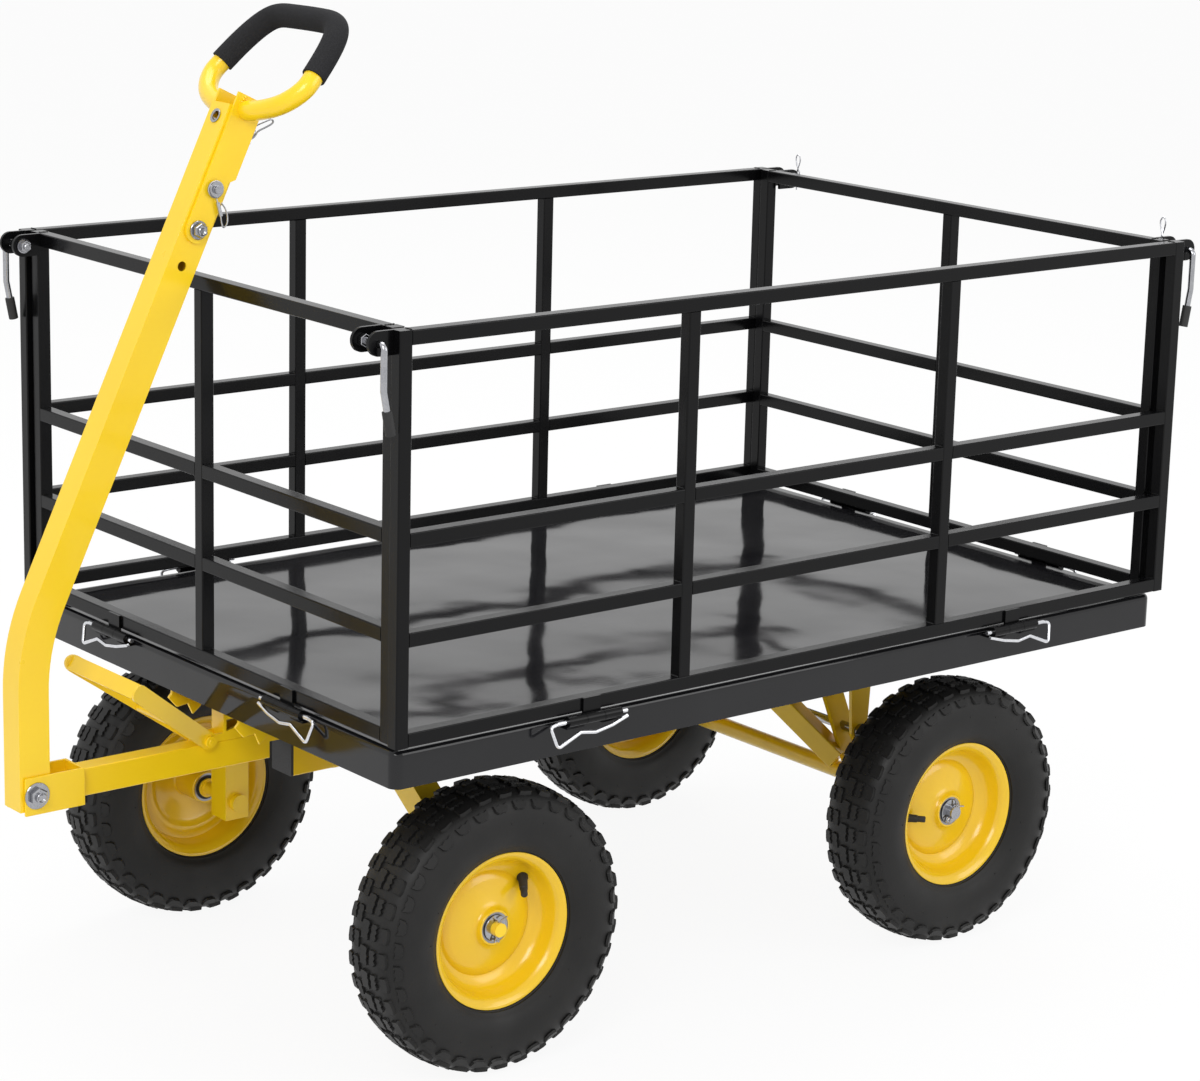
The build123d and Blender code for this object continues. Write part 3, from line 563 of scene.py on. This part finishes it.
# ---- hubs and axle ends ---------------------------------------------------------------
# Ball bearings with black seals are pressed into both ends of each hub tube. Outside, a zinc
# washer and a split pin through the stub hold the wheel on.
dull_steel = plated("dull_steel", 176, 0.34)
rings, seals = bmesh.new(), bmesh.new()
for face, outer_face in ((1, 16.6), (-1, -35.6)):
    ring_face, seal_top, seal_back = outer_face - face * 6, outer_face - face * 0.5, outer_face - face * 3
    for inside, outside in ((15.4, 17.9), (8.2, 11.2)):
        join(rings, lathe([(outer_face, inside), (outer_face, outside), (ring_face, outside),
                           (ring_face, inside)], 48))
    join(seals, lathe([(seal_top, 11.1), (seal_top, 15.5), (seal_back, 15.5), (seal_back, 11.1)], 48))
at_wheels("bearing_rings", rings, dull_steel)
at_wheels("bearing_seals", seals, sleeve_rubber.material)


def strand(points, radius, loop=False):
    """Round wire along smooth points given in mm."""
    line = bpy.data.curves.new("strand", "CURVE")
    line.dimensions, line.bevel_depth, line.bevel_resolution = "3D", radius * MM, 2
    line.use_fill_caps, line.resolution_u = True, 5
    run = line.splines.new("NURBS")
    run.points.add(len(points) - 1)
    for spot, point in zip(run.points, points):
        spot.co = (*(Vector(point) * MM), 1)
    run.order_u, run.use_endpoint_u, run.use_cyclic_u = 3, not loop, loop
    holder = bpy.data.objects.new("strand", line)
    drawn = bpy.data.meshes.new_from_object(holder)
    part = bmesh.new()
    part.from_mesh(drawn)
    bpy.data.objects.remove(holder)
    bpy.data.curves.remove(line)
    bpy.data.meshes.remove(drawn)
    bmesh.ops.recalc_face_normals(part, faces=part.faces)
    return part


hub_body = {wheel: "steering" if wheel.startswith("front") else "chassis" for wheel in wheel_hands}
washers = lathe([(17.4, 8.1), (17.4, 14.6), (17.8, 15), (19, 15), (19.4, 14.6), (19.4, 8.1)], 40)
at_wheels("axle_washer", washers, zinc, hub_body)
pin_turns = {"front_left": radians(-8), "rear_left": radians(-40), "front_right": radians(20),
             "rear_right": radians(75)}
pin_place = 23.4                           # along the stub from the wheel's middle, mm
for wheel, turn in pin_turns.items():
    work = bmesh.new()
    for leg in (-1, 1):
        join(work, strand([(0, 0, -12.5), (0, leg * 3.2, -15.5), (0, leg * 2.4, -11.5),
                           (0, leg * 0.9, -8), (0, leg * 0.9, 8.5), (leg * 0.6, leg * 3, 11.5),
                           (leg * 1.2, leg * 9, 14.5)], 0.95))
    pose = at_wheel(wheel) @ Matrix.Translation((pin_place * MM, 0, 0)) @ Matrix.Rotation(turn, 4, "X")
    work.transform(pose)
    add_piece(f"{wheel}_split_pin", work, zinc, hub_body[wheel])

# ---- clevis and flip bolts ------------------------------------------------------------
# Zinc plated hexagon bolts on washers: one holds the handle in its clevis, the other is the
# pin on which the grip bracket flips. Their ends stand out of the nuts.


def bolt_end(work, middle, side, start, washer, hexagon, shank, length):
    """Washer, nut and the bolt's own end, from a place start mm to one side of the middle."""
    pose = (Matrix.Translation(middle + Vector((side * start * MM, 0, 0)))
            @ Matrix.Rotation(0 if side > 0 else pi, 4, "Z"))
    inside = shank * 0.7
    join(work, lathe([(0, inside), (0, washer), (1.5, washer), (2, washer - 0.5), (2, inside)], 40), pose)
    join(work, lathe([(2, inside), (2, hexagon - 0.8), (2.6, hexagon), (6.8, hexagon), (8.2, hexagon * 0.87),
                      (8.2, inside)], 6), pose)
    join(work, lathe([(0, 0.01), (0, inside + 0.2), (7, shank), (length, shank), (length + 0.8, shank - 1),
                      (length - 0.8, shank * 0.5), (length - 0.8, 0.01)], 24), pose)


clevis_low, clevis_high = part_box("clevis_bolt")
bolts = {"clevis_bolt": ((clevis_low + clevis_high) / 2, 21.0, 15.0, 10.5, 6.0, 11.0, "steering"),
         "handle_bolt": (flip_middle, 21.2, 10.5, 8.6, 5.0, 9.4, "handle")}
for name, (middle, start, washer, hexagon, shank, length, body) in bolts.items():
    work = bmesh.new()
    for side in (-1, 1):
        bolt_end(work, middle, side, start, washer, hexagon, shank, length)
    join(work, lathe([(-start, 0.01), (-start, shank), (start, shank), (start, 0.01)], 24),
         Matrix.Translation(middle))
    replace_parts(add_piece(f"{name}_hexagon", work, zinc, body), name)

# ---- lock pin and hitch pin ------------------------------------------------------------
# A round-headed pin through the plates locks the grip; its shank is left out inside the
# tube, so that the grip can flip. A wire ring under its head holds a lanyard with a crimped
# sleeve. A bush lines the hitch pin hole in front, and a spring clip hangs behind it.
wrought("lock_pin", zinc, "grip", 0.6)
cable = plated("bare_cable", 205, 0.3)
work = bmesh.new()
pin_along, pin_side, eye_radius = 48, 24.5, 9.4
ring = [on_handle(pin_side, pin_along + eye_radius * cos(turn * pi / 6), eye_radius * sin(turn * pi / 6)) / MM
        for turn in range(12)]
join(work, strand(ring, 0.9, loop=True))
lanyard = [on_handle(*spot) / MM for spot in
           ((24.5, 39, -5), (25, 34, -10), (25, 25, -17), (24.5, 16, -23), (24, 13, -28), (22.5, 20, -31),
            (20.5, 29, -28), (19.4, 36, -21), (19.4, 38, -14.6))]
join(work, strand(lanyard, 0.9))
crimp_radius = 2.2
foot, tip = on_handle(24.8, 36, -8), on_handle(25, 24, -18)
way = tip - foot
long = way.length / MM
join(work, lathe([(0, 0.01), (0, crimp_radius), (long, crimp_radius), (long, 0.01)], 12),
     Matrix.Translation(foot) @ way.to_track_quat("X", "Z").to_matrix().to_4x4())
add_piece("lock_pin_lanyard", work, cable, "grip")

hitch_along, face_ahead = 124, 18.5
work = bmesh.new()
hitch = (Matrix.Translation(on_handle(0, hitch_along, face_ahead))
         @ off_handle.to_track_quat("X", "Z").to_matrix().to_4x4())
bush = [(-6, 5.4), (-6, 6.4), (0.2, 6.4), (1.0, 8.2), (1.5, 8.0), (1.5, 6.6), (0.6, 5.4)]
join(work, lathe(bush, 32), hitch)
add_piece("hitch_hole_bush", work, zinc, "handle")
work = bmesh.new()
plate_depth = 3.5
back = -face_ahead - plate_depth
join(work, lathe([(0, 0.01), (0, 6.4), (2, 6.8), (10, 6.8), (11.5, 5.6), (11.5, 0.01)], 24),
     Matrix.Translation(on_handle(0, hitch_along, back))
     @ (-off_handle).to_track_quat("X", "Z").to_matrix().to_4x4())
spring = [on_handle(*spot) / MM for spot in
          ((0, 112, back - 13), (0, 118, back - 8), (0, 126, back - 8), (0, 134, back - 12),
           (2, 142, back - 20), (3, 148, back - 26), (2, 145, back - 31), (0, 137, back - 25),
           (-1, 129, back - 17), (0, 122, back - 16), (0, 114, back - 9), (0, 106, back - 6))]
join(work, strand(spring, 1.0))
add_piece("hitch_pin_clip", work, dull_steel, "grip")

# ---- corner nuts and clips ---------------------------------------------------------------
# A nut each side of the end panel's ear holds its half of the latch rod, and at the rear a
# spring clip stands in the rod's end.
ear_place, rod_end = 349, 337.5            # from the cart's middle plane, mm
nut_outlines = (([(2.2, 3.6), (2.2, 6.4), (2.8, 7), (8, 7), (8.6, 6.3), (8.6, 3.6)], 6),
                ([(-4.4, 3.6), (-4.4, 8.6), (-2.2, 8.6), (-2.2, 3.6)], 32),
                ([(-10.4, 3.6), (-10.4, 6.3), (-9.8, 7), (-5, 7), (-4.4, 6.4), (-4.4, 3.6)], 6),
                ([(-13, 0.01), (-13, 3), (-12.4, 3.7), (14.1, 3.7), (14.1, 0.01)], 20))
clip_route = ((0, 0, -14), (0, 0, 4), (0, 0.5, 14), (-4, 1, 23), (-5, 1, 31), (0, 1, 36), (4.5, 1, 31),
              (3, 1, 22), (-1.5, 2, 13), (-4.6, 2.5, 6), (-3.6, 2.5, -1), (-5.6, 2.5, -7))
for end in ("front", "rear"):
    low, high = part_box(f"{end}_latch_bolts")
    middle = (low + high) / 2
    work = bmesh.new()
    for side in (-1, 1):
        pose = (Matrix.Translation((side * ear_place * MM, middle.y, middle.z))
                @ Matrix.Rotation(0 if side > 0 else pi, 4, "Z"))
        for outline, steps in nut_outlines:
            join(work, lathe(outline, steps), pose)
    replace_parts(add_piece(f"{end}_latch_nuts", work, zinc, panel_bodies[end]), f"{end}_latch_bolts")
    if end == "rear":
        clips = bmesh.new()
        for side in (-1, 1):
            spot = Vector((side * rod_end, middle.y / MM, middle.z / MM))
            join(clips, strand([spot + Vector((side * a, b, c)) for a, b, c in clip_route], 1.0))
        add_piece("rear_corner_clips", clips, spring_wire, panel_bodies[end])

# ---- studio -------------------------------------------------------------------------
# A pale floor under a white sky, four broad soft lamps. The white shows behind the cart
# and in its gloss, while the lamps alone set how bright the paint is.
floor_size = 30.0
floor_mesh = bpy.data.meshes.new("floor")
work = bmesh.new()
bmesh.ops.create_grid(work, x_segments=1, y_segments=1, size=floor_size / 2)
work.to_mesh(floor_mesh)
work.free()
floor = bpy.data.objects.new("floor", floor_mesh)
bpy.context.scene.collection.objects.link(floor)
floor_paint = Finish("pale_floor", Roughness=0.9)
floor_paint.drive("Base Color", floor_paint.blend(floor_paint.noise(0.4), rgb(246, 246, 246),
                                                  rgb(240, 240, 240)))
rays = floor_paint.node("ShaderNodeLightPath").outputs
seen = floor_paint.maths("MAXIMUM", Signal(floor_paint, rays["Is Camera Ray"]),
                         floor_paint.maths("MAXIMUM", Signal(floor_paint, rays["Is Glossy Ray"]),
                                           Signal(floor_paint, rays["Is Transmission Ray"])))
white = floor_paint.node("ShaderNodeEmission", Color=(1, 1, 1, 1), Strength=1.0)
mixer = floor_paint.node("ShaderNodeMixShader", i0=seen * 0.92)
floor_paint.tree.links.new(floor_paint.shader.outputs[0], mixer.inputs[1])
floor_paint.tree.links.new(white.outputs[0], mixer.inputs[2])
floor_paint.tree.links.new(mixer.outputs[0], floor_paint.tree.nodes["Material Output"].inputs[0])
floor_mesh.materials.append(floor_paint.material)

world = bpy.data.worlds.new("studio")
bpy.context.scene.world = world
world.use_nodes = True
sky = world.node_tree
plain = sky.nodes["Background"]
plain.inputs["Color"].default_value, plain.inputs["Strength"].default_value = (1, 1, 1, 1), 0.62
bright = sky.nodes.new("ShaderNodeBackground")
bright.inputs["Color"].default_value, bright.inputs["Strength"].default_value = (1, 1, 1, 1), 1.0
path = sky.nodes.new("ShaderNodeLightPath")
seen_rays = path.outputs["Is Camera Ray"]
for kind in ("Is Glossy Ray", "Is Transmission Ray"):
    either = sky.nodes.new("ShaderNodeMath")
    either.operation = "MAXIMUM"
    sky.links.new(seen_rays, either.inputs[0])
    sky.links.new(path.outputs[kind], either.inputs[1])
    seen_rays = either.outputs[0]
choice = sky.nodes.new("ShaderNodeMixShader")
sky.links.new(seen_rays, choice.inputs[0])
sky.links.new(plain.outputs[0], choice.inputs[1])
sky.links.new(bright.outputs[0], choice.inputs[2])
sky.links.new(choice.outputs[0], sky.nodes["World Output"].inputs[0])

lamps = {"key": ((2.6, -3.4, 3.4), 2.2, 95.0), "fill": ((3.8, 2.0, 2.2), 2.4, 45.0),
         "top": ((-0.6, 0.4, 4.2), 3.0, 70.0), "back": ((-2.3, 3.2, 3.9), 2.0, 40.0)}
for name, (place, size, power) in lamps.items():
    light = bpy.data.lights.new(name, "AREA")
    light.size, light.energy = size, power
    lamp = bpy.data.objects.new(name, light)
    lamp.location = place
    lamp.rotation_euler = (Vector((0, 0, 0.4)) - Vector(place)).to_track_quat("-Z", "Y").to_euler()
    bpy.context.scene.collection.objects.link(lamp)
bpy.context.scene.view_settings.view_transform = "Standard"
